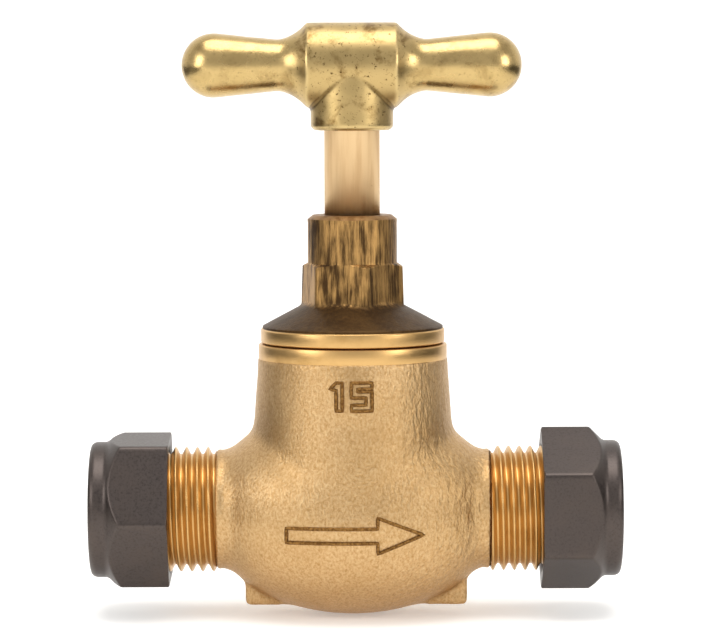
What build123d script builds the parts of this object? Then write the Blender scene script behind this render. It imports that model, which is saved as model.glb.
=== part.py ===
"""Straight screw-down stop valve for 15 mm pipe, with compression ends and a T handle.

The origin is where the pipe run crosses the spindle. +X is the way the water flows, +Z is up along
the spindle, and all sizes are millimetres.
"""

import os
from math import acos, asin, atan2, cos, degrees, floor, pi, radians, sin, sqrt

from build123d import *

# ---- Threads -------------------------------------------------------------------------------------
pipe_thread_pitch = 1.814      # 14 turns to the inch
pipe_thread_depth = 1.162
pipe_root_width = 1.44         # axial width of a ridge at its root
pipe_crest_width = 0.24
screw_pitch = 2.0              # trapezoidal screw that raises the spindle
screw_depth = 1.1
screw_root_width = 1.22
screw_crest_width = 0.66
thread_clearance = 0.12        # radial and axial play between a thread and its mate
ridge_sink = 0.06              # how far a ridge is rooted into its core

# ---- Pipe run ------------------------------------------------------------------------------------
pipe_r = 7.5
socket_gap = 0.075
waterway_r = 6.5
port_wall = 1.74               # metal left under the port thread
pipe_stop_x = 24.6             # the shoulder that a pipe end meets
port_end_x = 36.0
port_thread_x = 23.1
port_lead = 0.7                # chamfer at the start of the port thread
collar_gap = 0.38              # collar radius below the thread's crest
collar_fillet = 1.4
mouth_flare = 1.43             # how much wider than the socket the mouth opens for the olive

socket_r = pipe_r + socket_gap
port_root_r = socket_r + port_wall
port_thread_r = port_root_r + pipe_thread_depth
collar_r = port_thread_r - collar_gap
mouth_r = socket_r + mouth_flare

# ---- Body casting --------------------------------------------------------------------------------
bulb_half_length = 25.2
bulb_r = 17.8
casting_wall = 3.2
web_thickness = 2.6
web_flat_half = 10.0           # half length of the level part of the web that carries the seat
web_end_rise = 9.0             # height of the web where it meets the wall of the bulb
web_fillet = 1.6
barrel_top_z = 28.0
barrel_wall = 2.78             # metal outside the bonnet thread
ring_height = 2.1              # turned ring at the mouth of the barrel
ring_step = 0.2
ring_chamfer = 0.3
lug_width = 5.5
lug_bottom_z = -16.1
lug_inlet_x = 18.3
lug_outlet_x = 19.2
lug_corner_r = 0.8
mark_height = 0.4              # relief of the cast marks
mark_line = 0.55               # width of the raised outline of a mark

# ---- Seat and jumper -----------------------------------------------------------------------------
seat_top_z = 3.0
seat_hole_r = 6.2
seat_lip = 1.3
seat_foot = 3.0
lift = 5.5                     # how far the jumper rises from the seat
seat_gap = 0.05                # left between washer and seat when shut
washer_overhang = 1.0
washer_thickness = 3.2
plate_thickness = 1.5
stem_r = 3.0
stem_length = 11.5
stem_gap = 0.08
stem_end_room = 0.7
peg_r = 2.0
peg_gap = 0.06
peg_proud = 0.7
jumper_nut_flats = 7.0
jumper_nut_height = 2.2
part_chamfer = 0.3

# ---- Spindle -------------------------------------------------------------------------------------
spindle_r = 4.65
spindle_gap = 0.075
spindle_foot_gap = 0.05
spindle_foot_r = 5.6
screw_step = 1.75              # screw root outside the shaft
screw_foot_z = 19.6
stop_gap = 0.05
thrust_washer_thickness = 0.8
thrust_washer_gap = 0.1
ring_section_r = 0.7           # round section of a seal ring
ring_seat_gap = 0.005
groove_width = 2.0
groove_depth = 1.35
upper_ring_drop = 3.2          # below the top of the bonnet
ring_spacing = 3.5

# ---- Bonnet --------------------------------------------------------------------------------------
flange_gap = 0.2               # seen between the body ring and the bonnet rim
gasket_sink = 0.9
gasket_width = 1.0
gasket_gap = 0.05
rim_step = 0.4                 # rim radius inside the body ring
rim_height = 2.4
rim_chamfer = 0.25
cone_height = 2.9
hex_height = 7.6
neck_height = 8.5
neck_wall = 2.775
neck_chamfer_r = 0.9
neck_chamfer_z = 0.7
hex_corner_r = 1.7
hex_draft = 1.6                # degrees
hex_turn = -73.6               # degrees from +X to a corner, seen from above
hex_shoulder = 1.5
cone_top_step = 0.15           # cone radius outside the hexagon's corners
stop_shoulder_z = 3.0          # above the top of the barrel
bonnet_wall = 4.4
spigot_length = 10.8
spigot_relief = 1.2
chamber_relief = 0.5

# ---- T handle ------------------------------------------------------------------------------------
exposed_spindle = 14.1         # between bonnet and handle with the valve open
skirt_wall = 2.25
handle_gap = 0.05
handle_rise = 10.9             # arm axis above the skirt's bottom
hub_r = 7.15
hub_half_length = 8.2
hub_edge = 0.7
skirt_edge = 0.6
arm_span = 57.0
arm_ball_r = 5.42
arm_neck_r = 4.35
arm_neck_x = 12.4
arm_flare_sag = 0.45
spindle_over_axis = 1.4        # spindle end above the arm axis
pin_r = 1.5
pin_gap = 0.03
pin_z_above_skirt = 4.6
pin_depth = 4.2                # reach past the spindle axis

# ---- Compression nuts and olives -----------------------------------------------------------------
nut_wall = 1.4                 # metal outside the nut's thread, at a flat
nut_length = 13.25
nut_hex_length = 8.9
nut_neck_length = 1.1          # slope from the hexagon down to the collar
nut_collar_step = 0.6          # collar radius inside the flats
nut_collar_round = 1.2
nut_face_chamfer = 0.35
nut_thread_length = 8.2
nut_hole_gap = 0.2
nut_hole_length = 2.4
inlet_nut_gap = 7.75           # thread left bare between collar and nut
inlet_nut_turn = 25.5          # degrees from straight up to a corner
outlet_nut_back_off = 154.5    # degrees that the outlet nut is screwed on less than the inlet nut
olive_gap = 0.05
olive_wall = 0.45
olive_bulge = 0.75
olive_length = 5.95
olive_setback = 0.55           # olive end inside the nut's cone

# ---- Sizes that follow ---------------------------------------------------------------------------
socket_end_x = port_end_x - mouth_flare
screw_root_r = spindle_r + screw_step
screw_r = screw_root_r + screw_depth
bonnet_root_r = screw_r + thread_clearance + bonnet_wall
bonnet_thread_r = bonnet_root_r + pipe_thread_depth
chamber_r = bonnet_root_r + chamber_relief
barrel_top_r = bonnet_thread_r + barrel_wall
ring_r = barrel_top_r - ring_step
rim_r = ring_r - rim_step
gasket_outer_r = bonnet_thread_r + thread_clearance + gasket_width
flange_z = barrel_top_z + flange_gap
rim_top_z = flange_z + rim_height
cone_top_z = rim_top_z + cone_height
hex_top_z = cone_top_z + hex_height
bonnet_top_z = hex_top_z + neck_height
spigot_end_z = barrel_top_z - spigot_length
stop_z = barrel_top_z + stop_shoulder_z
bonnet_bore_r = spindle_r + spindle_gap
neck_r = bonnet_bore_r + neck_wall
hex_corner_reach = (neck_r - hex_corner_r) / cos(radians(30)) + hex_corner_r
skirt_z = bonnet_top_z + exposed_spindle
arm_z = skirt_z + handle_rise
spindle_top_z = arm_z + spindle_over_axis
skirt_r = spindle_r + handle_gap + skirt_wall
washer_z = seat_top_z + lift + seat_gap
plate_z = washer_z + washer_thickness
plate_top_z = plate_z + plate_thickness
spindle_foot_z = plate_top_z + spindle_foot_gap
screw_top_z = stop_z - stop_gap - thrust_washer_thickness
washer_r = seat_hole_r + seat_lip + washer_overhang
pin_z = skirt_z + pin_z_above_skirt
nut_thread_r = port_thread_r + thread_clearance
nut_bore_r = port_root_r + thread_clearance
nut_flat_r = nut_thread_r + nut_wall
nut_hole_r = socket_r + nut_hole_gap
inlet_nut_start = port_thread_x + inlet_nut_gap
outlet_nut_start = inlet_nut_start + outlet_nut_back_off / 360 * pipe_thread_pitch
nut_cone_start = nut_length - nut_hole_length - (nut_bore_r - nut_hole_r)


def turned(points):
    """A solid turned about the Z axis from the half outline (radius, height)."""
    outline = Polyline(*[(r, 0, z) for r, z in points], close=True)
    return revolve(make_face(outline), Axis.Z)


def coil(root_r, crest_r, root_width, crest_width, pitch, start, end):
    """A helical ridge about Z that starts half a pitch or more below start and ends at end.

    Coils of one pitch are in step with each other wherever they start, so a thread and the groove
    cut with its coil are in mesh.
    """
    base = pitch * floor(start / pitch - 0.5)
    inner_r = root_r - ridge_sink
    slope = (root_width - crest_width) / 2 / (crest_r - root_r)
    inner_half = root_width / 2 + ridge_sink * slope
    section = Polyline(
        (inner_r, 0, base - inner_half),
        (crest_r, 0, base - crest_width / 2),
        (crest_r, 0, base + crest_width / 2),
        (inner_r, 0, base + inner_half),
        close=True,
    )
    path = Pos(0, 0, base) * Helix(pitch, end - base, root_r)
    return sweep(make_face(section), path=path, is_frenet=True)


def port_section(play):
    """Root and crest radius, their widths and the pitch of the port thread, grown by play."""
    return (
        port_root_r + play, port_thread_r + play,
        pipe_root_width + 2 * play, pipe_crest_width + 2 * play, pipe_thread_pitch,
    )


def bonnet_section(play):
    """The same for the thread between bonnet and body."""
    return (
        bonnet_root_r + play, bonnet_thread_r + play,
        pipe_root_width + 2 * play, pipe_crest_width + 2 * play, pipe_thread_pitch,
    )


def screw_section(play):
    """The same for the spindle's screw."""
    return (
        screw_root_r + play, screw_r + play,
        screw_root_width + 2 * play, screw_crest_width + 2 * play, screw_pitch,
    )


def thread(root_r, crest_r, root_width, crest_width, pitch, start, end, lead=0.0):
    """A coil cut square at start and at end, and chamfered by lead at its end."""
    outside_r = crest_r + lead + ridge_sink
    band = turned(
        [
            (0, start),
            (outside_r, start),
            (outside_r, end - 2 * lead - ridge_sink),
            (crest_r - lead, end),
            (0, end),
        ]
    )
    return coil(root_r, crest_r, root_width, crest_width, pitch, start, end + pitch) & band


def toward(side, part):
    """Lay a port part, built with its axis up and its inner end low, along the inlet or the outlet."""
    return Rot(0, 90 * side, 0) * part


def raised_outline(face, reach):
    """The outline of a face on the XZ plane as a prism that runs to the front, out to -Y."""
    band = offset(face, mark_line) - face
    return extrude(band, amount=reach, dir=(0, -1, 0))


def cast_marks():
    """A flow arrow on the bulb and the pipe size on the barrel, as raised outlines."""
    arrow_tail, arrow_neck, arrow_tip = -11.0, 4.0, 11.5
    arrow_half, head_half, arrow_z = 1.2, 3.0, -2.4
    arrow = Polyline(
        (arrow_tail, arrow_half),
        (arrow_neck, arrow_half),
        (arrow_neck, head_half),
        (arrow_tip, 0),
        (arrow_neck, -head_half),
        (arrow_neck, -arrow_half),
        (arrow_tail, -arrow_half),
        close=True,
    )
    arrow = Plane.XZ * Pos(0, arrow_z) * make_face(arrow)
    skin = ellipsoid(bulb_half_length + mark_height, bulb_r + mark_height)
    marks = raised_outline(arrow, bulb_r + 2 * mark_height) & skin

    stroke, figure_height, figure_width, figure_gap, figures_z = 1.0, 4.6, 3.4, 1.5, 20.4
    low, high, mid = -figure_height / 2, figure_height / 2, figure_height / 12
    one_x, five_x = -figure_gap / 2 - stroke, figure_gap / 2
    one = Polyline(
        (one_x, low),
        (one_x + stroke, low),
        (one_x + stroke, high),
        (one_x, high),
        (one_x - stroke, high - stroke),
        (one_x, high - 1.2 * stroke),
        close=True,
    )
    right = five_x + figure_width
    five = Polyline(
        (five_x, low),
        (right, low),
        (right, mid + stroke / 2),
        (five_x + stroke, mid + stroke / 2),
        (five_x + stroke, high - stroke),
        (right, high - stroke),
        (right, high),
        (five_x, high),
        (five_x, mid - stroke / 2),
        (right - stroke, mid - stroke / 2),
        (right - stroke, low + stroke),
        (five_x, low + stroke),
        close=True,
    )
    barrel_skin = barrel(mark_height)
    for figure in (one, five):
        face = Plane.XZ * Pos(-stroke, figures_z) * make_face(figure)
        marks += raised_outline(face, bulb_r + 2 * mark_height) & barrel_skin
    return marks


def ellipsoid(half_length, r):
    """A solid of revolution about X, half_length long each way."""
    half = EllipticalCenterArc((0, 0), half_length, r, start_angle=0, arc_size=180)
    return revolve(make_face([half.edge(), Line(half @ 1, half @ 0).edge()]), Axis.X)


def barrel(proud=0.0):
    """The tapered barrel up to the turned ring, as cast, or standing proud of that by a little."""
    taper_z = barrel_top_z - ring_height - ring_step
    return turned([(0, 0), (bulb_r + proud, 0), (barrel_top_r + proud, taper_z), (0, taper_z)])


def water_space():
    """The room inside the casting: two chambers parted by an S-shaped web with the seat hole."""
    space = ellipsoid(bulb_half_length - casting_wall, bulb_r - casting_wall)
    space += turned([(0, 0), (chamber_r, 0), (chamber_r, spigot_end_z), (0, spigot_end_z)])
    half = web_thickness / 2
    outer = bulb_half_length
    fall = web_end_rise + (outer - web_flat_half) * web_end_rise / web_flat_half / 2
    web_face = Polyline(
        (-outer, fall + half),
        (-web_flat_half, half),
        (web_flat_half, half),
        (outer, -fall + half),
        (outer, -fall - half),
        (web_flat_half, -half),
        (-web_flat_half, -half),
        (-outer, fall - half),
        close=True,
    )
    web = extrude(Plane.XZ * make_face(web_face), amount=bulb_r, both=True)
    bends = [e for e in web.edges().filter_by(Axis.Y) if abs(abs(e.center().X) - web_flat_half) < half]
    web = fillet(bends, web_fillet)
    lip_r = seat_hole_r + seat_lip
    seat = turned([(0, 0), (lip_r + seat_foot, 0), (lip_r, seat_top_z), (0, seat_top_z)])
    hole = Pos(0, 0, seat_top_z) * Cylinder(
        seat_hole_r, seat_top_z + web_thickness, align=(Align.CENTER, Align.CENTER, Align.MAX)
    )
    return space - web - seat + hole


def port_bore():
    """Waterway, pipe socket and flared mouth of one port."""
    return turned(
        [
            (0, web_flat_half),
            (waterway_r, web_flat_half),
            (waterway_r, pipe_stop_x),
            (socket_r, pipe_stop_x),
            (socket_r, socket_end_x),
            (mouth_r, port_end_x),
            (0, port_end_x),
        ]
    )


def bulb_and_collars():
    """The bulb with a collar at each port, turned about X with a fillet where they meet."""
    join_angle = asin(collar_r / bulb_r)
    join = (bulb_half_length * cos(join_angle), collar_r)
    crown = EllipticalCenterArc(
        (0, 0), bulb_half_length, bulb_r, start_angle=degrees(join_angle),
        arc_size=180 - 2 * degrees(join_angle),
    )
    right, left = (port_thread_x, collar_r), (-port_thread_x, collar_r)
    edges = [
        crown,
        Line((-join[0], join[1]), left),
        Line(left, (left[0], 0)),
        Line((left[0], 0), (right[0], 0)),
        Line((right[0], 0), right),
        Line(right, join),
    ]
    face = make_face([e.edge() for e in edges])
    bends = [v for v in face.vertices() if abs(abs(v.X) - join[0]) < ridge_sink]
    return revolve(fillet(bends, collar_fillet), Axis.X)


def valve_body():
    """The brass casting: bulb, barrel, two threaded ports, lugs, marks, web and seat."""
    shell = bulb_and_collars()
    for side in (-1, 1):
        root = Cylinder(port_root_r, port_end_x, align=(Align.CENTER, Align.CENTER, Align.MIN))
        shell += toward(side, root)
    shell += barrel()
    ring_z = barrel_top_z - ring_height
    shell += turned(
        [
            (0, 0),
            (barrel_top_r - ring_step, 0),
            (barrel_top_r, ring_z - ring_step),
            (ring_r, ring_z),
            (ring_r, barrel_top_z - ring_chamfer),
            (ring_r - ring_chamfer, barrel_top_z),
            (0, barrel_top_z),
        ]
    )
    lug = Pos((lug_outlet_x - lug_inlet_x) / 2, 0, lug_bottom_z) * Box(
        lug_outlet_x + lug_inlet_x, lug_width, -lug_bottom_z, align=(Align.CENTER, Align.CENTER, Align.MIN)
    )
    lug = fillet(lug.edges().filter_by(Axis.Y).group_by(Axis.Z)[0], lug_corner_r)
    shell += lug
    shell += cast_marks()
    shell -= water_space()
    for side in (-1, 1):
        shell -= toward(side, port_bore())
    gasket_seat_z = barrel_top_z - gasket_sink
    shell -= turned(
        [
            (0, spigot_end_z - ridge_sink),
            (bonnet_root_r + thread_clearance, spigot_end_z - ridge_sink),
            (bonnet_root_r + thread_clearance, gasket_seat_z),
            (gasket_outer_r + gasket_gap, gasket_seat_z),
            (gasket_outer_r + gasket_gap, barrel_top_z),
            (0, barrel_top_z),
        ]
    )
    shell -= thread(*bonnet_section(thread_clearance), spigot_end_z, gasket_seat_z)
    for side in (-1, 1):
        shell += toward(side, thread(*port_section(0), port_thread_x, port_end_x, port_lead))
    return shell


def bonnet():
    """The forged headgear: threaded spigot, rim, cone, hexagon and neck, bored for the spindle."""
    gland_z = flange_z - gasket_sink - flange_gap
    relief_r = bonnet_root_r - ridge_sink
    shape = turned(
        [
            (0, spigot_end_z),
            (bonnet_root_r, spigot_end_z),
            (bonnet_root_r, gland_z - spigot_relief),
            (relief_r, gland_z - spigot_relief),
            (relief_r, flange_z),
            (rim_r - rim_chamfer, flange_z),
            (rim_r, flange_z + rim_chamfer),
            (rim_r, rim_top_z - rim_chamfer),
            (rim_r - rim_chamfer, rim_top_z),
            (hex_corner_reach + cone_top_step, cone_top_z),
            (0, cone_top_z),
        ]
    )
    shape += turned(
        [
            (0, cone_top_z),
            (neck_r, cone_top_z),
            (neck_r, bonnet_top_z - neck_chamfer_z),
            (neck_r - neck_chamfer_r, bonnet_top_z),
            (0, bonnet_top_z),
        ]
    )
    flats = RegularPolygon(neck_r, 6, major_radius=False)
    flats = fillet(flats.vertices(), hex_corner_r)
    prism = extrude(flats, amount=-(hex_height + cone_height / 2), taper=-hex_draft)
    prism = Pos(0, 0, hex_top_z) * Rot(0, 0, hex_turn) * prism
    crown = turned(
        [
            (0, rim_top_z),
            (hex_corner_reach + 1, rim_top_z),
            (hex_corner_reach + 1, hex_top_z - hex_shoulder),
            (neck_r, hex_top_z),
            (0, hex_top_z),
        ]
    )
    shape += prism & crown
    shape += thread(*bonnet_section(0), spigot_end_z, gland_z - spigot_relief)
    shape -= turned(
        [
            (0, spigot_end_z),
            (screw_root_r + thread_clearance, spigot_end_z),
            (screw_root_r + thread_clearance, stop_z),
            (bonnet_bore_r, stop_z),
            (bonnet_bore_r, bonnet_top_z - part_chamfer),
            (bonnet_bore_r + part_chamfer, bonnet_top_z),
            (0, bonnet_top_z),
        ]
    )
    shape -= turned(
        [
            (0, screw_top_z),
            (screw_r + thread_clearance, screw_top_z),
            (screw_r + thread_clearance, stop_z),
            (0, stop_z),
        ]
    )
    return shape - thread(*screw_section(thread_clearance), spigot_end_z, screw_top_z)


def bonnet_gasket():
    """Flat fibre washer between body and bonnet, sunk in the body's mouth."""
    inner_r = bonnet_thread_r - pipe_thread_depth / 2
    low, high = barrel_top_z - gasket_sink, flange_z
    return turned([(inner_r, low), (gasket_outer_r, low), (gasket_outer_r, high), (inner_r, high)])


def spindle():
    """The brass spindle: foot, screw, shaft with two grooves, bored for the jumper and the pin."""
    top_r = spindle_r - part_chamfer
    outline = [
        (0, spindle_foot_z),
        (spindle_foot_r, spindle_foot_z),
        (spindle_foot_r, screw_foot_z),
        (screw_root_r, screw_foot_z),
        (screw_root_r, screw_top_z),
        (spindle_r, screw_top_z),
    ]
    for ring_z in seal_ring_heights():
        outline += [
            (spindle_r, ring_z - groove_width / 2),
            (spindle_r - groove_depth, ring_z - groove_width / 2),
            (spindle_r - groove_depth, ring_z + groove_width / 2),
            (spindle_r, ring_z + groove_width / 2),
        ]
    outline += [(spindle_r, spindle_top_z - part_chamfer), (top_r, spindle_top_z), (0, spindle_top_z)]
    shape = turned(outline) + thread(*screw_section(0), screw_foot_z, screw_top_z)
    bore_top = plate_top_z + stem_length + stem_end_room
    bore_r = stem_r + stem_gap
    shape -= turned([(0, spindle_foot_z), (bore_r, spindle_foot_z), (bore_r, bore_top), (0, bore_top)])
    return shape - pin_hole(pin_gap)


def seal_ring_heights():
    """Heights of the lower and the upper seal ring with the valve open."""
    upper = bonnet_top_z - upper_ring_drop
    return (upper - ring_spacing, upper)


def seal_ring(height):
    """A rubber ring of round section that fills the gap from its groove to the bonnet's bore."""
    centre_r = bonnet_bore_r - ring_seat_gap - ring_section_r
    return Pos(0, 0, height) * Torus(centre_r, ring_section_r)


def thrust_washer():
    """Plain washer on the spindle's shoulder, which meets the bonnet when the valve is wide open."""
    inner_r, outer_r = spindle_r + thrust_washer_gap, screw_root_r - thrust_washer_gap
    low, high = screw_top_z, screw_top_z + thrust_washer_thickness
    return turned([(inner_r, low), (outer_r, low), (outer_r, high), (inner_r, high)])


def jumper():
    """Brass disc with a stem that turns freely in the spindle and a peg for the washer."""
    return turned(
        [
            (0, washer_z - jumper_nut_height - peg_proud),
            (peg_r, washer_z - jumper_nut_height - peg_proud),
            (peg_r, plate_z),
            (washer_r, plate_z),
            (washer_r, plate_top_z - part_chamfer),
            (washer_r - part_chamfer, plate_top_z),
            (stem_r, plate_top_z),
            (stem_r, plate_top_z + stem_length - part_chamfer),
            (stem_r - part_chamfer, plate_top_z + stem_length),
            (0, plate_top_z + stem_length),
        ]
    )


def jumper_washer():
    """Flat rubber washer that closes on the seat."""
    inner_r, outer_r = peg_r + peg_gap, washer_r
    return turned([(inner_r, washer_z), (outer_r, washer_z), (outer_r, plate_z), (inner_r, plate_z)])


def jumper_nut():
    """Small hexagon nut that holds the washer on the jumper's peg."""
    flats = RegularPolygon(jumper_nut_flats / 2, 6, major_radius=False) - Circle(peg_r + peg_gap)
    return Pos(0, 0, washer_z - jumper_nut_height) * extrude(flats, amount=jumper_nut_height)


def pin_hole(play):
    """The space of the drive pin, which is driven in from the back of the skirt."""
    length = skirt_r + pin_depth
    pin = Rot(90, 0, 0) * Cylinder(pin_r + play, length, align=(Align.CENTER, Align.CENTER, Align.MIN))
    return Pos(0, skirt_r, pin_z) * pin


def handle_pin():
    """Brass drive pin through handle and spindle, its outer end dressed to the skirt's curve."""
    skirt = Pos(0, 0, pin_z) * Cylinder(skirt_r, 4 * pin_r)
    return pin_hole(0) & skirt


def handle_arm():
    """Half of the handle's bar, turned about the arm axis: hub, flare, taper and ball end."""
    ball_x = arm_span / 2 - arm_ball_r
    reach = sqrt((ball_x - arm_neck_x) ** 2 + arm_neck_r**2)
    tilt = atan2(arm_neck_r, arm_neck_x - ball_x) - acos(arm_ball_r / reach)
    tangent = (ball_x + arm_ball_r * cos(tilt), arm_ball_r * sin(tilt))
    top = ThreePointArc(
        tangent,
        (ball_x + arm_ball_r * cos(tilt / 2), arm_ball_r * sin(tilt / 2)),
        (ball_x + arm_ball_r, 0),
    )
    flare_start = (hub_half_length, hub_r - hub_edge)
    middle = ((flare_start[0] + arm_neck_x) / 2, (flare_start[1] + arm_neck_r) / 2 - arm_flare_sag)
    edges = [
        Line((0, 0), (0, hub_r)),
        Line((0, hub_r), (hub_half_length - hub_edge, hub_r)),
        Line((hub_half_length - hub_edge, hub_r), flare_start),
        ThreePointArc(flare_start, middle, (arm_neck_x, arm_neck_r)),
        Line((arm_neck_x, arm_neck_r), tangent),
        top,
        Line((ball_x + arm_ball_r, 0), (0, 0)),
    ]
    face = make_face([e.edge() for e in edges])
    return revolve(face, Axis.X)


def t_handle():
    """The forged T handle: bar, hub and skirt, bored for the spindle and the drive pin."""
    arm = handle_arm()
    bar = Pos(0, 0, arm_z) * (arm + Rot(0, 0, 180) * arm)
    skirt = turned(
        [
            (0, skirt_z),
            (skirt_r - skirt_edge, skirt_z),
            (skirt_r, skirt_z + skirt_edge),
            (skirt_r, arm_z),
            (0, arm_z),
        ]
    )
    bore_r = spindle_r + handle_gap
    bore_top = spindle_top_z + handle_gap
    bore = turned([(0, skirt_z), (bore_r, skirt_z), (bore_r, bore_top), (0, bore_top)])
    return bar + skirt - bore - pin_hole(pin_gap)


def compression_nut():
    """A nut as it sits on the inlet port, in mesh with the port's thread."""
    corner_r = nut_flat_r / cos(pi / 6)
    nut_collar_r = nut_flat_r - nut_collar_step
    rise = (corner_r - nut_flat_r) / sqrt(3)
    flats = extrude(RegularPolygon(nut_flat_r, 6, major_radius=False), amount=nut_hex_length)
    crown = turned(
        [
            (0, 0),
            (corner_r - nut_face_chamfer, 0),
            (corner_r, nut_face_chamfer),
            (corner_r, nut_hex_length - rise),
            (nut_flat_r, nut_hex_length),
            (0, nut_hex_length),
        ]
    )
    collar = turned(
        [
            (0, 0),
            (nut_flat_r - nut_face_chamfer, 0),
            (nut_flat_r - nut_face_chamfer, nut_hex_length),
            (nut_collar_r, nut_hex_length + nut_neck_length),
            (nut_collar_r, nut_length),
            (0, nut_length),
        ]
    )
    rim = collar.edges().filter_by(GeomType.CIRCLE).group_by(Axis.Z)[-1]
    collar = fillet(rim, nut_collar_round)
    shape = Rot(0, 0, inlet_nut_turn) * (flats & crown) + collar
    shape -= turned(
        [
            (0, 0),
            (nut_thread_r, 0),
            (nut_bore_r, pipe_thread_depth),
            (nut_bore_r, nut_cone_start),
            (nut_hole_r, nut_length - nut_hole_length),
            (nut_hole_r, nut_length),
            (0, nut_length),
        ]
    )
    start = inlet_nut_start
    groove = coil(*port_section(thread_clearance), start, start + nut_thread_length)
    return Pos(0, 0, start) * shape - groove


def backed_off(nut, degrees_off):
    """The nut unscrewed along its port by that many degrees."""
    return Pos(0, 0, degrees_off / 360 * pipe_thread_pitch) * Rot(0, 0, degrees_off) * nut


def olive(nut_start):
    """Soft brass ring with a barrel outside, seated in the cone of the nut that starts there."""
    inner_r = pipe_r + olive_gap
    end_r = inner_r + olive_wall
    high = nut_start + nut_length - nut_hole_length - olive_setback
    low = high - olive_length
    edges = [
        Line((inner_r, 0, low), (end_r, 0, low)),
        ThreePointArc((end_r, 0, low), (end_r + olive_bulge, 0, (low + high) / 2), (end_r, 0, high)),
        Line((end_r, 0, high), (inner_r, 0, high)),
        Line((inner_r, 0, high), (inner_r, 0, low)),
    ]
    return revolve(make_face([e.edge() for e in edges]), Axis.Z)


def valve_parts():
    """Every piece of the valve by name, in place with the valve open."""
    nut = compression_nut()
    lower_ring_z, upper_ring_z = seal_ring_heights()
    return {
        "valve_body": valve_body(),
        "bonnet": bonnet(),
        "bonnet_gasket": bonnet_gasket(),
        "spindle": spindle(),
        "lower_seal_ring": seal_ring(lower_ring_z),
        "upper_seal_ring": seal_ring(upper_ring_z),
        "thrust_washer": thrust_washer(),
        "t_handle": t_handle(),
        "handle_pin": handle_pin(),
        "jumper": jumper(),
        "jumper_washer": jumper_washer(),
        "jumper_nut": jumper_nut(),
        "inlet_olive": toward(-1, olive(inlet_nut_start)),
        "outlet_olive": toward(1, olive(outlet_nut_start)),
        "inlet_nut": toward(-1, nut),
        "outlet_nut": toward(1, backed_off(nut, outlet_nut_back_off)),
    }


os.makedirs("parts", exist_ok=True)
for name, piece in valve_parts().items():
    export_step(piece, f"parts/{name}.step")
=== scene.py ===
"""A straight stop valve in brass: its detailed pieces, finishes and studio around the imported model."""

import math

import bmesh
import bpy
from bpy.props import FloatProperty, FloatVectorProperty, IntProperty, PointerProperty
from mathutils import Matrix, Vector, noise
from mathutils.bvhtree import BVHTree


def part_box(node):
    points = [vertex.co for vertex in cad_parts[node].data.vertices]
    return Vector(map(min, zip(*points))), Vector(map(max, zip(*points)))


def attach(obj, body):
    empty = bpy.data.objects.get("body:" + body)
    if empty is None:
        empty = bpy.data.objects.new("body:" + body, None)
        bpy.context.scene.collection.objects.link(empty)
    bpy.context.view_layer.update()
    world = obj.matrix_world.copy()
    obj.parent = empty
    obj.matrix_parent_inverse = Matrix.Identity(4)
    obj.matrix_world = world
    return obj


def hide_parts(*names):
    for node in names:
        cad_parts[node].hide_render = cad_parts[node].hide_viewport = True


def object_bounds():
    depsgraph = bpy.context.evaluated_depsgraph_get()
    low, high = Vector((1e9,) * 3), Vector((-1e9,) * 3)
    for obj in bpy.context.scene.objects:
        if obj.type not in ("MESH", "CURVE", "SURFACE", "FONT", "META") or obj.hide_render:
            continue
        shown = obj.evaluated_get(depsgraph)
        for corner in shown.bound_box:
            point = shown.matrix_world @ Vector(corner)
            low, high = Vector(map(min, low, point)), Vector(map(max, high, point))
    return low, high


bl_info = {
    "name": "Straight Stop Valve",
    "version": (1, 0, 0),
    "blender": (4, 5, 0),
    "location": "View3D > Sidebar > Valve",
    "description": "Builds the pieces, finishes and studio of a straight brass stop valve",
    "category": "Add Mesh",
}

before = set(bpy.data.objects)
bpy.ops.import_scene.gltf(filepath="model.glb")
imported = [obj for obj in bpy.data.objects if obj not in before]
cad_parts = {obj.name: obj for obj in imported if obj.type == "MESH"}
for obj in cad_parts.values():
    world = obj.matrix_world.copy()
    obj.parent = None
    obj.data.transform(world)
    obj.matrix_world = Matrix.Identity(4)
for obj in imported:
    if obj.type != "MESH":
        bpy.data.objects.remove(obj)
CAD_BOX = [list(corner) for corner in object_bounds()]

MM = 0.001
TAU = 2 * math.pi

# ---- Sizes of the valve, in millimetres, as designed ----------------------------------------------
# Body casting: X is the pipe line, with the outlet towards +X, and Z the spindle's axis.
COLLAR_END = 23.1
LUG_TOP = -11.5
LUG_START = 12.5
PORT_END = 36.0
PORT_ROOT_R = 9.315
PORT_CREST_R = 10.477
PORT_PITCH = 1.814
PORT_LEAD = 0.7
PIPE_STOP = 24.6
WATERWAY_R = 6.5
SOCKET_R = 7.575
SOCKET_END = 34.57
MOUTH_R = 9.005
RING_BOTTOM = 25.8
RING_TOP = 28.0
RING_R = 15.8
RING_BORE_R = 13.3

# Bonnet, from the rim up.
RIM_BOTTOM = 28.2
RIM_TOP = 30.6
RIM_R = 15.4
RIM_BORE_R = 8.0
CONE_R = 15.15
CONE_TOP = 34.4
CONE_TOP_R = 8.75
CONE_SLOPE = 1.88
HEX_TOP = 41.1
HEX_FULLNESS = 0.12
HEX_TURN = -73.6
HEX_DRAFT = math.radians(1.6)
SHOULDER_RISE = 0.45
SHOULDER_SLOPE = 2.2
NECK_R = 7.5
NECK_TOP = 49.6
CROWN_DEPTH = 0.7
CROWN_CHAMFER = 0.9
BONNET_BORE_R = 4.725
BONNET_ROW = 0.15

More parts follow.
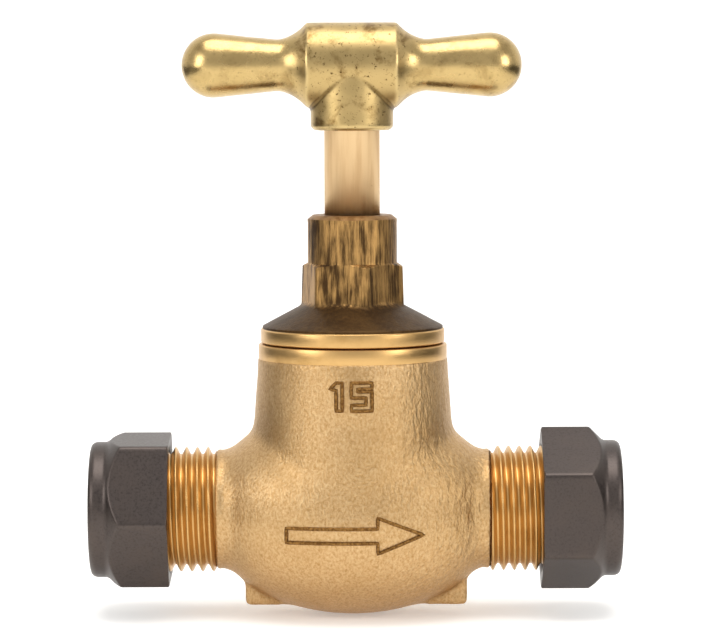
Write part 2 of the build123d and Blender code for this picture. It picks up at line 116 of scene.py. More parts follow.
# Compression nuts, from the face towards the valve to the collar.
NUT_LENGTH = 13.25
NUT_ROWS = 110
NUT_FLAT_R = 11.997
NUT_TURN = {"inlet": -4.5, "outlet": 90.0}
NUT_FRONT_OVER = 1.35
NUT_FRONT_SLOPE = 2.5
NUT_COLLAR_START = 10.0
NUT_COLLAR_R = 11.4
NUT_END_ROUND = 1.2
NUT_THREAD_R = 10.597
NUT_THREAD_LEAD = 0.4
NUT_OLIVE_CONE = 2.2
NUT_HOLE_R = 7.775
NUT_HOLE_LENGTH = 2.4

# An outer wall is turned this wide, which tells it from the bores, and is then drawn in to its shape.
WIDE_R = 30.0
FINE_STEPS = 300

# ---- Stage, in metres and watts -------------------------------------------------------------------
MIDDLE = (0.0, 0.0, 0.03)
LAMPS = (
    ("top_box", (0.0, -0.1, 0.75), 0.6, 0.5, 3.6),
    ("left_box", (-0.72, -0.5, 0.3), 0.4, 0.5, 3.0),
    ("right_box", (0.75, -0.5, 0.25), 0.4, 0.5, 3.0),
)
FLAG_PLACE = (0.26, 0.0, 0.02)
WORLD_STRENGTH = 0.68
FLOOR_HALF = 3.0
FLOOR_FRONT, FLOOR_BACK, FLOOR_BEND, FLOOR_TALL = -4.0, 0.5, 0.35, 2.0
CAMERA_TARGET = (0.0004, 0.0, 0.0322)
CAMERA_DISTANCE = 0.6
CAMERA_PITCH = math.radians(4.2)
CAMERA_ROLL = math.radians(0.22)
CAMERA_VIEW_WIDTH = 0.11928
SENSOR_MM = 36


def linear(hex_colour):
    """A hex sRGB colour as linear RGBA."""
    values = [int(hex_colour.lstrip("#")[i:i + 2], 16) / 255 for i in (0, 2, 4)]
    return [v / 12.92 if v <= 0.04045 else ((v + 0.055) / 1.055) ** 2.4 for v in values] + [1.0]


def per(size_mm):
    """The scale at which a noise pattern has features about size_mm across."""
    return 0.5 / (size_mm * MM)


def feed(tree, made, inputs):
    """Sets a node's inputs, given in order or by name, each to a value or to the socket that feeds it."""
    for key, value in (inputs if isinstance(inputs, dict) else dict(enumerate(inputs))).items():
        if isinstance(value, bpy.types.NodeSocket):
            tree.links.new(value, made.inputs[key])
        else:
            made.inputs[key].default_value = value


def node(tree, kind, inputs=(), out=0, stops=(), **settings):
    """Adds a shader node with its settings, its inputs and a ramp's stops, and gives its output."""
    made = tree.nodes.new("ShaderNode" + kind)
    for key, value in settings.items():
        setattr(made, key, value)
    while stops and len(made.color_ramp.elements) < len(stops):
        made.color_ramp.elements.new(0.5)
    for i, (place, shade) in enumerate(stops):
        made.color_ramp.elements[i].position = place
        made.color_ramp.elements[i].color = shade
    feed(tree, made, inputs)
    return made.outputs[out]


# Settings and sockets that come back in every finish.
SMOOTH = {"interpolation_type": "SMOOTHSTEP"}
TIMES = {"operation": "MULTIPLY"}
TIMES_PLUS = {"operation": "MULTIPLY_ADD"}
COLOURS = {"data_type": "RGBA", "out": 2}
SHARE, FIRST, SECOND = 0, 6, 7


def blank_metal(name):
    """A new material with a metallic Principled shader, its node tree and object coordinates."""
    material = bpy.data.materials.new(name)
    material.use_nodes = True
    tree = material.node_tree
    shader = tree.nodes["Principled BSDF"]
    shader.inputs["Metallic"].default_value = 1.0
    return material, tree, shader, node(tree, "TexCoord", out="Object")


def cast_brass(finish):
    """Sand-cast brass, shot-blasted: a matt, warm golden skin with an orange-peel grain, coarser to one
    side, darker in its pits and with painted shade in its corners. The blast's fine grit is drawn coarser
    than it is, to show."""
    material, tree, shader, place = blank_metal("sand_cast_brass")
    wide = node(tree, "Mapping", {"Vector": place, "Scale": (1.25, 1.25, 0.9)})
    tall = node(tree, "Mapping", {"Vector": place, "Scale": (1.3, 1.3, 0.7)})
    fine = node(tree, "TexNoise", {"Vector": place, "Scale": per(0.09), "Detail": 3.0, "Roughness": 0.55})
    peel = node(tree, "TexNoise", {"Vector": wide, "Scale": per(0.24), "Detail": 3.0, "Roughness": 0.65})
    swell = node(tree, "TexNoise", {"Vector": tall, "Scale": per(0.7), "Detail": 2.0, "Roughness": 0.55})
    cloud = node(tree, "TexNoise", {"Vector": place, "Scale": per(7.0), "Detail": 3.0, "Roughness": 0.55})
    x = node(tree, "SeparateXYZ", (place,), out="X")
    side = node(tree, "MapRange", (x, -2 * MM, 14 * MM), **SMOOTH)
    coarse = node(tree, "Math", (swell, node(tree, "Math", (side, 0.8, 0.2), **TIMES_PLUS)), **TIMES)

    stops = [(0.25, finish.cast_dark), (0.5, finish.cast_colour), (0.8, finish.cast_light)]
    tone = node(tree, "ValToRGB", (peel,), stops=stops)
    clouded = node(tree, "MapRange", (cloud, 0.35, 0.7, 0.0, 0.3), **SMOOTH)
    tone = node(tree, "Mix", {SHARE: clouded, FIRST: tone, SECOND: linear("#b38d58")}, **COLOURS)
    # Painted shade: the skin is coloured a darker brown where it is hollow, in corners and creases where
    # shade falls.
    hollow = node(tree, "Attribute", out="Fac", attribute_name="hollow")
    corner = node(tree, "Math", (node(tree, "MapRange", (hollow, 0.02, 0.3), **SMOOTH), 0.55), **TIMES)
    tone = node(tree, "Mix", {SHARE: corner, FIRST: tone, SECOND: linear("#7d5c33")}, **COLOURS)

    rough = node(tree, "MapRange", (fine, 0.2, 0.8, 0.36, 0.5), **SMOOTH)
    normal = node(tree, "Bump", {"Height": coarse, "Strength": 1.0, "Distance": 0.3 * MM})
    normal = node(tree, "Bump", {"Height": peel, "Strength": 1.0, "Distance": 0.1 * MM, "Normal": normal})
    normal = node(tree, "Bump", {"Height": fine, "Strength": 1.0, "Distance": 0.025 * MM, "Normal": normal})
    feed(tree, shader, {"Base Color": tone, "Roughness": rough, "Normal": normal})
    return material


def mark_brass(finish):
    """The raised lines of the cast marks: the same brass coloured a darker brown, in patches darker still, as
    painted shade along the lines.
    """
    material, tree, shader, place = blank_metal("sand_cast_brass_marks")
    fine = node(tree, "TexNoise", {"Vector": place, "Scale": per(0.2), "Detail": 3.0, "Roughness": 0.55})
    # Painted shade: the lines are coloured dark brown, darker still in patches, for the shade along them.
    darker_shade_patches = node(tree, "MapRange", (fine, 0.35, 0.7), **SMOOTH)
    tone = node(tree, "Mix", {SHARE: darker_shade_patches, FIRST: linear("#6b4a26"), SECOND: finish.mark_shaded_colour}, **COLOURS)
    normal = node(tree, "Bump", {"Height": fine, "Strength": 1.0, "Distance": 0.04 * MM})
    feed(tree, shader, {"Base Color": tone, "Roughness": 0.55, "Normal": normal})
    return material


def turned_brass(finish, axis="Z", name="turned_brass"):
    """Brass turned on a lathe: pale, bright, with fine feed marks round its axis and a few stains."""
    material, tree, shader, place = blank_metal(name)
    scale = {"X": (1.0, 0.02, 0.02), "Z": (0.02, 0.02, 1.0)}[axis]
    rings = node(tree, "Mapping", {"Vector": place, "Scale": scale})
    cuts = node(tree, "TexNoise", {"Vector": rings, "Scale": per(0.09), "Detail": 2.0, "Roughness": 0.55})
    stain = node(tree, "TexNoise", {"Vector": place, "Scale": per(3.5), "Detail": 5.0, "Roughness": 0.65})
    stained = node(tree, "MapRange", (stain, 0.5, 0.78, 0.0, 0.55), **SMOOTH)
    tone = node(
        tree, "Mix", {SHARE: stained, FIRST: finish.turned_colour, SECOND: linear("#a87e3f")}, **COLOURS
    )
    rough = node(tree, "MapRange", (stain, 0.3, 0.75, 0.3, 0.42), **SMOOTH)
    normal = node(tree, "Bump", {"Height": cuts, "Strength": 1.0, "Distance": 0.006 * MM})
    feed(tree, shader, {"Base Color": tone, "Roughness": rough, "Normal": normal})
    return material


def port_brass(finish):
    """The same turned brass with its feed marks round the pipe line, for threads and olives."""
    return turned_brass(finish, "X", "turned_brass_port")


def crown_brass(finish):
    """The crown of the bonnet: faced brass dulled by handling, orange-brown with ring marks."""
    material, tree, shader, place = blank_metal("faced_brass_dulled")
    rings = node(tree, "Mapping", {"Vector": place, "Scale": (0.02, 0.02, 1.0)})
    cuts = node(tree, "TexNoise", {"Vector": rings, "Scale": per(0.1), "Detail": 2.0, "Roughness": 0.55})
    stain = node(tree, "TexNoise", {"Vector": place, "Scale": per(0.8), "Detail": 5.0, "Roughness": 0.7})
    stained = node(tree, "MapRange", (stain, 0.4, 0.7), **SMOOTH)
    tone = node(
        tree, "Mix", {SHARE: stained, FIRST: finish.crown_colour, SECOND: linear("#6f4e2e")}, **COLOURS
    )
    normal = node(tree, "Bump", {"Height": cuts, "Strength": 1.0, "Distance": 0.006 * MM})
    feed(tree, shader, {"Base Color": tone, "Roughness": 0.46, "Normal": normal})
    return material


def rod_brass(finish):
    """The spindle's drawn and turned rod: a paler, pinkish brass with faint lengthwise wipe marks."""
    material, tree, shader, place = blank_metal("drawn_brass_rod")
    rings = node(tree, "Mapping", {"Vector": place, "Scale": (0.02, 0.02, 1.0)})
    lengths = node(tree, "Mapping", {"Vector": place, "Scale": (1.0, 1.0, 0.08)})
    cuts = node(tree, "TexNoise", {"Vector": rings, "Scale": per(0.12), "Detail": 2.0, "Roughness": 0.55})
    wipe = node(tree, "TexNoise", {"Vector": lengths, "Scale": per(0.7), "Detail": 4.0, "Roughness": 0.55})
    spots = node(tree, "TexNoise", {"Vector": place, "Scale": per(0.5), "Detail": 4.0, "Roughness": 0.7})
    wiped = node(tree, "MapRange", (wipe, 0.45, 0.72, 0.0, 0.6), **SMOOTH)
    spotted = node(tree, "MapRange", (spots, 0.68, 0.78, 0.0, 0.5), **SMOOTH)
    tone = node(tree, "Mix", {SHARE: wiped, FIRST: finish.rod_colour, SECOND: linear("#c9a577")}, **COLOURS)
    tone = node(tree, "Mix", {SHARE: spotted, FIRST: tone, SECOND: linear("#8a6238")}, **COLOURS)
    rough = node(tree, "MapRange", (wipe, 0.3, 0.75, 0.42, 0.55), **SMOOTH)
    normal = node(tree, "Bump", {"Height": cuts, "Strength": 1.0, "Distance": 0.005 * MM})
    feed(tree, shader, {"Base Color": tone, "Roughness": rough, "Normal": normal})
    return material


def tumbled_brass(finish):
    """Forged brass, tumbled and half polished: glossy yellow, speckled with pits and brown stains that
    stay on the hub, with painted shade in its corners and painted highlights on its edges."""
    material, tree, shader, place = blank_metal("tumbled_forged_brass")
    stain = node(
        tree, "TexNoise",
        {"Vector": place, "Scale": per(2.4), "Detail": 5.0, "Roughness": 0.68, "Distortion": 0.3},
    )
    pits = node(tree, "TexNoise", {"Vector": place, "Scale": per(0.3), "Detail": 4.0, "Roughness": 0.75})
    soft = node(tree, "TexNoise", {"Vector": place, "Scale": per(1.6), "Detail": 2.0, "Roughness": 0.55})
    reach = node(tree, "Math", (node(tree, "SeparateXYZ", (place,), out="X"),), operation="ABSOLUTE")
    hub = node(tree, "MapRange", (reach, 8.5 * MM, 11.5 * MM, 1.0, 0.4), **SMOOTH)
    hollow = node(tree, "Attribute", out="Fac", attribute_name="hollow")

    softened = node(tree, "MapRange", (soft, 0.3, 0.7), **SMOOTH)
    tone = node(
        tree, "Mix", {SHARE: softened, FIRST: finish.handle_colour, SECOND: linear("#c6aa72")}, **COLOURS
    )
    dulled = node(tree, "Math", (hub, 0.2), **TIMES)
    tone = node(tree, "Mix", {SHARE: dulled, FIRST: tone, SECOND: linear("#94805a")}, **COLOURS)
    # Stains, painted shade in the corners, painted highlights on the edges and pits, each with its strength
    # and its colour.
    for source, low, high, share, shade in (
        (stain, 0.48, 0.7, hub, "#7c6034"),
        (hollow, 0.006, 0.05, 0.8, "#5c4522"),
        (hollow, -0.02, -0.07, 0.4, "#dcc48c"),
        (pits, 0.58, 0.68, hub, "#4a3216"),
    ):
        shown = node(tree, "MapRange", (source, low, high), **SMOOTH)
        shown = node(tree, "Math", (shown, share), **TIMES)
        tone = node(tree, "Mix", {SHARE: shown, FIRST: tone, SECOND: linear(shade)}, **COLOURS)

    gloss = node(tree, "MapRange", (soft, 0.3, 0.7, 0.17, 0.26), **SMOOTH)
    rough = node(tree, "Math", (hub, 0.14, gloss), **TIMES_PLUS)
    normal = node(tree, "Bump", {"Height": soft, "Strength": 1.0, "Distance": 0.05 * MM})
    normal = node(tree, "Bump", {"Height": pits, "Strength": 1.0, "Distance": -0.02 * MM, "Normal": normal})
    feed(tree, shader, {"Base Color": tone, "Roughness": rough, "Normal": normal})
    return material


def oxidised_brass(finish):
    """Hot-forged brass with its dark oxide skin, rubbed through in golden streaks up and down the neck
    and hexagon, and hardly at all on the cone."""
    material, tree, shader, place = blank_metal("hot_forged_brass_oxide")
    thin = node(tree, "Mapping", {"Vector": place, "Scale": (1.0, 1.0, 0.09)})
    tall = node(tree, "Mapping", {"Vector": place, "Scale": (1.0, 1.0, 0.45)})
    streak = node(tree, "TexNoise", {"Vector": thin, "Scale": per(0.32), "Detail": 5.0, "Roughness": 0.7})
    patch = node(tree, "TexNoise", {"Vector": tall, "Scale": per(2.2), "Detail": 3.0, "Roughness": 0.55})
    fine = node(tree, "TexNoise", {"Vector": place, "Scale": per(0.3), "Detail": 3.0, "Roughness": 0.55})
    z = node(tree, "SeparateXYZ", (place,), out="Z")
    upright = node(tree, "MapRange", (z, (CONE_TOP - 0.3) * MM, (CONE_TOP + 0.9) * MM), **SMOOTH)
    reached = node(tree, "Math", (upright, 0.92, 0.08), **TIMES_PLUS)
    rubbed = node(tree, "Math", (streak, 0.72, node(tree, "Math", (patch, 0.55), **TIMES)), **TIMES_PLUS)
    worn = node(tree, "Math", (node(tree, "MapRange", (rubbed, 0.5, 0.78), **SMOOTH), reached), **TIMES)
    tone = node(
        tree, "Mix", {SHARE: worn, FIRST: finish.oxide_colour, SECOND: finish.worn_colour}, **COLOURS
    )
    rough = node(tree, "MapRange", (worn, 0.0, 1.0, 0.52, 0.42), **SMOOTH)
    normal = node(tree, "Bump", {"Height": fine, "Strength": 1.0, "Distance": 0.03 * MM})
    normal = node(tree, "Bump", {"Height": streak, "Strength": 1.0, "Distance": 0.05 * MM, "Normal": normal})
    feed(tree, shader, {"Base Color": tone, "Roughness": rough, "Normal": normal})
    return material


def dark_brass(finish):
    """Brass nuts with a dark, satin chemical finish: grey-brown and finely mottled."""
    material, tree, shader, place = blank_metal("dark_satin_brass")
    mottle = node(tree, "TexNoise", {"Vector": place, "Scale": per(0.2), "Detail": 4.0, "Roughness": 0.65})
    cloud = node(tree, "TexNoise", {"Vector": place, "Scale": per(3.0), "Detail": 3.0, "Roughness": 0.55})
    stops = [(0.2, linear("#413b38")), (0.5, finish.nut_colour), (0.8, linear("#59514d"))]
    tone = node(tree, "ValToRGB", (mottle,), stops=stops)
    clouded = node(tree, "MapRange", (cloud, 0.4, 0.7, 0.0, 0.4), **SMOOTH)
    tone = node(tree, "Mix", {SHARE: clouded, FIRST: tone, SECOND: linear("#5b514b")}, **COLOURS)
    rough = node(tree, "MapRange", (mottle, 0.3, 0.7, 0.36, 0.46), **SMOOTH)
    normal = node(tree, "Bump", {"Height": mottle, "Strength": 1.0, "Distance": 0.008 * MM})
    feed(tree, shader, {"Base Color": tone, "Roughness": rough, "Normal": normal})
    return material


def rubber(finish):
    """Moulded nitrile rubber: matt black with a faint bloom."""
    material, tree, shader, place = blank_metal("moulded_rubber")
    bloom = node(tree, "TexNoise", {"Vector": place, "Scale": per(0.8), "Detail": 4.0, "Roughness": 0.55})
    tone = node(
        tree, "Mix", {SHARE: bloom, FIRST: linear("#101010"), SECOND: finish.rubber_colour}, **COLOURS
    )
    rough = node(tree, "MapRange", (bloom, 0.3, 0.7, 0.55, 0.75), **SMOOTH)
    normal = node(tree, "Bump", {"Height": bloom, "Strength": 1.0, "Distance": 0.01 * MM})
    feed(tree, shader, {"Metallic": 0.0, "Base Color": tone, "Roughness": rough, "Normal": normal})
    return material


def fibre(finish):
    """Vulcanised fibre washer: dull brick red with a felted grain."""
    material, tree, shader, place = blank_metal("vulcanised_fibre")
    flat = node(tree, "Mapping", {"Vector": place, "Scale": (1.0, 1.0, 4.0)})
    felt = node(tree, "TexNoise", {"Vector": flat, "Scale": per(0.3), "Detail": 5.0, "Roughness": 0.55})
    tone = node(tree, "Mix", {SHARE: felt, FIRST: linear("#6b2417"), SECOND: finish.fibre_colour}, **COLOURS)
    normal = node(tree, "Bump", {"Height": felt, "Strength": 1.0, "Distance": 0.02 * MM})
    feed(tree, shader, {"Metallic": 0.0, "Base Color": tone, "Roughness": 0.8, "Normal": normal})
    return material


MAKERS = {
    "cast": cast_brass,
    "mark": mark_brass,
    "turned": turned_brass,
    "crown": crown_brass,
    "turned_x": port_brass,
    "rod": rod_brass,
    "tumbled": tumbled_brass,
    "oxide": oxidised_brass,
    "nut": dark_brass,
    "rubber": rubber,
    "fibre": fibre,
}
MATERIALS = {}


def finish_of(name):
    """The named finish, made once."""
    if name not in MATERIALS:
        MATERIALS[name] = MAKERS[name](bpy.context.scene.valve_finish)
    return MATERIALS[name]


# ---- Shape helpers, in millimetres ----------------------------------------------------------------

def soft_min(a, b, width):
    """The lesser of a and b, with the corner between them rounded over about width."""
    return min(a, b) - max(width - abs(a - b), 0.0) ** 2 / (4 * width)


def soft_max(a, b, width):
    """The greater of a and b, with the corner between them filled over about width."""
    return -soft_min(-a, -b, width)


def hexagon_r(angle, flat_r, corner_angle, softness):
    """Radius at an angle of a hexagon with rounded corners, given its flats' radius and a corner's angle."""
    first = corner_angle + math.pi / 6
    sides = (math.cos(angle - first - i * math.pi / 3) for i in range(6))
    return -math.log(sum(math.exp(-flat_r / c / softness) for c in sides if c > 0.3)) * softness


def turned(profile, axis="Z", steps=160):
    """A mesh turned about an axis from a closed profile of (radius, distance along the axis) points."""
    bm = bmesh.new()
    along = Vector((0, 0, 1)) if axis == "Z" else Vector((1, 0, 0))
    out = Vector((0, -1, 0))
    verts = [bm.verts.new(out * r + along * h) for r, h in profile]
    edges = [bm.edges.new(pair) for pair in zip(verts, verts[1:] + verts[:1])]
    bmesh.ops.spin(
        bm, geom=verts + edges, cent=(0, 0, 0), axis=along, dvec=(0, 0, 0), angle=TAU, steps=steps,
        use_merge=True,
    )
    bmesh.ops.remove_doubles(bm, verts=bm.verts, dist=1e-4)
    bmesh.ops.recalc_face_normals(bm, faces=bm.faces)
    return bm


def soften(bm, width, segments=2):
    """Rounds every edge sharper than 30 degrees."""
    sharp = [e for e in bm.edges if len(e.link_faces) == 2 and e.calc_face_angle() > math.radians(30)]
    bmesh.ops.bevel(
        bm, geom=sharp, offset=width, offset_type="OFFSET", affect="EDGES", segments=segments,
        profile=0.5, material=-1, clamp_overlap=True,
    )
    return bm


def drawn_in(bm, axis, radius):
    """Brings the wall turned at WIDE_R in to its real radius, a function of angle and distance along."""
    first, second, along = (1, 2, 0) if axis == "X" else (0, 1, 2)
    for v in bm.verts:
        r = math.hypot(v.co[first], v.co[second])
        if r > WIDE_R / 2:
            wanted = radius(math.atan2(v.co[second], v.co[first]), v.co[along])
            v.co[first] *= wanted / r
            v.co[second] *= wanted / r


def cad_copy(name):
    """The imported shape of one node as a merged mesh, in millimetres."""
    bm = bmesh.new()
    bm.from_mesh(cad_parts[name].data)
    bmesh.ops.scale(bm, vec=(1 / MM,) * 3, verts=bm.verts)
    bmesh.ops.remove_doubles(bm, verts=bm.verts, dist=1e-3)
    return bm


def cut_off(bm, point, normal, cap=True):
    """Cuts away what lies beyond a plane, on the side its normal points to."""
    made = bmesh.ops.bisect_plane(
        bm, geom=bm.verts[:] + bm.edges[:] + bm.faces[:], plane_co=point, plane_no=normal, clear_outer=True
    )
    if cap:
        edges = [e for e in made["geom_cut"] if isinstance(e, bmesh.types.BMEdge)]
        bmesh.ops.triangle_fill(bm, edges=edges, use_beauty=True)


def cast_over(bm, step):
    """The same closed shape as an even skin of small quads, step apart."""
    mesh = bpy.data.meshes.new("skin")
    bm.to_mesh(mesh)
    bm.free()
    holder = bpy.data.objects.new("skin", mesh)
    remesh = holder.modifiers.new("skin", "REMESH")
    remesh.mode = "VOXEL"
    remesh.voxel_size = step
    skin = evaluated(holder)
    bpy.data.meshes.remove(mesh)
    if not skin.faces:
        raise RuntimeError("the skin of a cast piece came out empty")
    return skin


def evaluated(holder):
    """The mesh that a helper object gives once its modifiers or its bevel are worked out."""
    bpy.context.scene.collection.objects.link(holder)
    graph = bpy.context.evaluated_depsgraph_get()
    mesh = bpy.data.meshes.new_from_object(holder.evaluated_get(graph))
    bpy.data.objects.remove(holder)
    made = bmesh.new()
    made.from_mesh(mesh)
    bpy.data.meshes.remove(mesh)
    return made


def eased(bm, passes, chosen=lambda co: True):
    """Rounds the chosen part of a skin, as sand casting or tumbling does."""
    verts = [v for v in bm.verts if chosen(v.co)]
    for _ in range(passes):
        bmesh.ops.smooth_vert(
            bm, verts=verts, factor=0.5, use_axis_x=True, use_axis_y=True, use_axis_z=True
        )


def unevened(bm, depth, size, chosen=lambda co: True):
    """Sinks the skin by up to depth in soft hollows about size across; size may differ by axis."""
    bm.normal_update()
    for v in bm.verts:
        if chosen(v.co):
            place = Vector(c / s for c, s in zip(v.co, size))
            v.co -= v.normal * depth * (0.5 + 0.5 * noise.noise(place))


def hollows_for_shading(bm, passes):
    """Notes at each point how hollow the skin is, in millimetres, for painted shade in corners and painted
    highlights on edges.
    """
    bm.normal_update()
    places = [v.co.copy() for v in bm.verts]
    normals = [v.normal.copy() for v in bm.verts]
    eased(bm, passes)
    layer = bm.verts.layers.float.new("hollow")
    for v, place, normal in zip(bm.verts, places, normals):
        v[layer] = (v.co - place).dot(normal)
        v.co = place


def kept_inside(bm, name):
    """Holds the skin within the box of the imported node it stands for."""
    low, high = (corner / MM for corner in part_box(name))
    for v in bm.verts:
        v.co = Vector(min(max(c, a), b) for c, a, b in zip(v.co, low, high))


def helical_skin(root_r, crest_r, pitch, start, end, steps=72):
    """The flanks, crest and root of a right-hand thread about X, with its crest and root rounded."""
    depth = crest_r - root_r
    half = [(0.5, 0.0), (0.41, 0.03), (0.36, 0.12), (0.12, 0.86), (0.07, 0.97), (0.0, 1.0)]
    wave = half + [(-u, v) for u, v in reversed(half[:-1])]
    turns = math.ceil((end - start) / pitch) + 2
    bm = bmesh.new()
    verts = [bm.verts.new((start - (1 + u) * pitch, -root_r - v * depth, 0)) for u, v in reversed(wave)]
    edges = [bm.edges.new(pair) for pair in zip(verts, verts[1:])]
    bmesh.ops.spin(
        bm, geom=verts + edges, cent=(0, 0, 0), axis=(1, 0, 0), dvec=(pitch / steps, 0, 0),
        angle=turns * TAU, steps=turns * steps,
    )
    bmesh.ops.remove_doubles(bm, verts=bm.verts, dist=0.01)
    cut_off(bm, (start, 0, 0), (-1, 0, 0), cap=False)
    cut_off(bm, (end, 0, 0), (1, 0, 0), cap=False)
    bmesh.ops.recalc_face_normals(bm, faces=bm.faces)
    return bm


def limited(bm, limit):
    """Draws every point further from X than limit(x) in to it."""
    for v in bm.verts:
        r = math.hypot(v.co.y, v.co.z)
        if r > limit(v.co.x):
            share = limit(v.co.x) / r
            v.co.y *= share
            v.co.z *= share


def mirrored(bm):
    """Turned half round about Z, so that what faced the outlet faces the inlet; threads keep their hand."""
    bmesh.ops.rotate(bm, cent=(0, 0, 0), matrix=Matrix.Rotation(math.pi, 3, "Z"), verts=bm.verts)


def joined(*parts):
    """Several meshes as one."""
    whole = bmesh.new()
    for part in parts:
        mesh = bpy.data.meshes.new("part")
        part.to_mesh(mesh)
        part.free()
        whole.from_mesh(mesh)
        bpy.data.meshes.remove(mesh)
    return whole


def placed(name, bm, finish, body, stands_for=(), sharp=40.0):
    """The finished mesh as an object that rides on a body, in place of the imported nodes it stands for."""
    bmesh.ops.scale(bm, vec=(MM,) * 3, verts=bm.verts)
    mesh = bpy.data.meshes.new(name)
    bm.to_mesh(mesh)
    bm.free()
    mesh.materials.append(finish_of(finish))
    mesh.shade_smooth()
    mesh.set_sharp_from_angle(angle=math.radians(sharp))
    made = bpy.data.objects.new(name, mesh)
    bpy.context.scene.collection.objects.link(made)
    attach(made, body)
    if stands_for:
        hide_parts(*stands_for)


def bead(skin, outlines, width):
    """Soft raised lines on a cast face: each outline, in (x, z), is laid on the skin from the front."""
    curve = bpy.data.curves.new("marks", "CURVE")
    curve.dimensions = "3D"
    curve.bevel_depth = width
    curve.bevel_resolution = 3
    tree = BVHTree.FromBMesh(skin)
    for outline in outlines:
        points = []
        for (ax, az), (bx, bz) in zip(outline, outline[1:] + outline[:1]):
            parts = max(1, round(math.hypot(bx - ax, bz - az) / 0.4))
            for i in range(parts):
                x, z = ax + (bx - ax) * i / parts, az + (bz - az) * i / parts
                hit, normal = tree.ray_cast(Vector((x, -40, z)), Vector((0, 1, 0)))[:2]
                points.append(hit + normal * width * 0.35)
        spline = curve.splines.new("POLY")
        spline.points.add(len(points) - 1)
        spline.use_cyclic_u = True
        for point, co in zip(spline.points, points):
            point.co = (*co, 1)
    made = evaluated(bpy.data.objects.new("marks", curve))
    bpy.data.curves.remove(curve)
    return made


# ---- The settings a user would change -------------------------------------------------------------

def length(name, description, mm, least=0.0):
    """A length setting with its default and its least value given in millimetres."""
    return FloatProperty(
        name=name, description=description, default=mm * MM, min=least * MM, precision=5,
        subtype="DISTANCE", unit="LENGTH",
    )


def colour(name, description, hex_colour):
    """A colour setting with its default given in sRGB hex."""
    return FloatVectorProperty(
        name=name, description=description, subtype="COLOR", size=4, min=0, max=1, default=linear(hex_colour)
    )


def in_mm(value):
    """A length setting in millimetres."""
    return round(value / MM, 4)


class ValveSizes(bpy.types.PropertyGroup):
    """How finely the pieces are made and how soft their edges are."""

    casting_step: length("Casting step", "Size of the quads of the cast body", 0.43, 0.2)
    casting_blend: IntProperty(
        name="Casting blend", description="Rounds of easing where barrel, bulb and lugs meet", default=38,
        min=0,
    )
    casting_dips: length("Casting unevenness", "Depth of the broad dips in the cast skin", 0.08)
    handle_step: length("Handle step", "Size of the quads of the handle", 0.23, 0.15)
    handle_blend: IntProperty(
        name="Handle blend", description="Rounds of easing on the tumbled handle", default=5, min=0
    )
    ring_edge: length("Ring edge", "Round on the edges of the body's turned ring", 0.25)
    rim_edge: length("Rim edge", "Round on the edges of the bonnet's rim", 0.3)
    fine_edge: length("Fine edge", "Round on the edges of the ports and the bonnet's crown", 0.06)
    mark_line: length("Cast line", "Half width of the raised lines of the cast marks", 0.3)


class ValveFinish(bpy.types.PropertyGroup):
    """The colours of the finishes."""

    cast_colour: colour("Cast brass", "The blasted skin of the body", "#c6a272")
    cast_dark: colour("Cast brass pits", "The pits of the blasted skin", "#a9834f")
    cast_light: colour("Cast brass grains", "The grains that catch the light", "#dabd90")
    # Painted shade: the marks' colour is darker than the cast skin, for the shade along their raised lines.
    mark_shaded_colour: colour("Cast marks", "The raised lines of the cast marks", "#9a7340")
    turned_colour: colour("Turned brass", "Rim, ring, threads and small parts", "#cfa76c")
    crown_colour: colour("Faced brass", "The crown of the bonnet", "#9a7850")
    rod_colour: colour("Brass rod", "The spindle", "#dabb8e")
    handle_colour: colour("Tumbled brass", "The T handle", "#c2a66e")
    oxide_colour: colour("Oxide skin", "The forged bonnet where nothing has rubbed it", "#46331f")
    worn_colour: colour("Worn oxide", "The forged bonnet where it is rubbed through", "#be945a")
    nut_colour: colour("Nut finish", "The dark finish of the nuts", "#554d49")
    rubber_colour: colour("Rubber bloom", "The bloom on the seal rings and the washer", "#2b2a28")
    fibre_colour: colour("Fibre", "The bonnet's gasket", "#9a4a33")


# ---- The pieces -----------------------------------------------------------------------------------

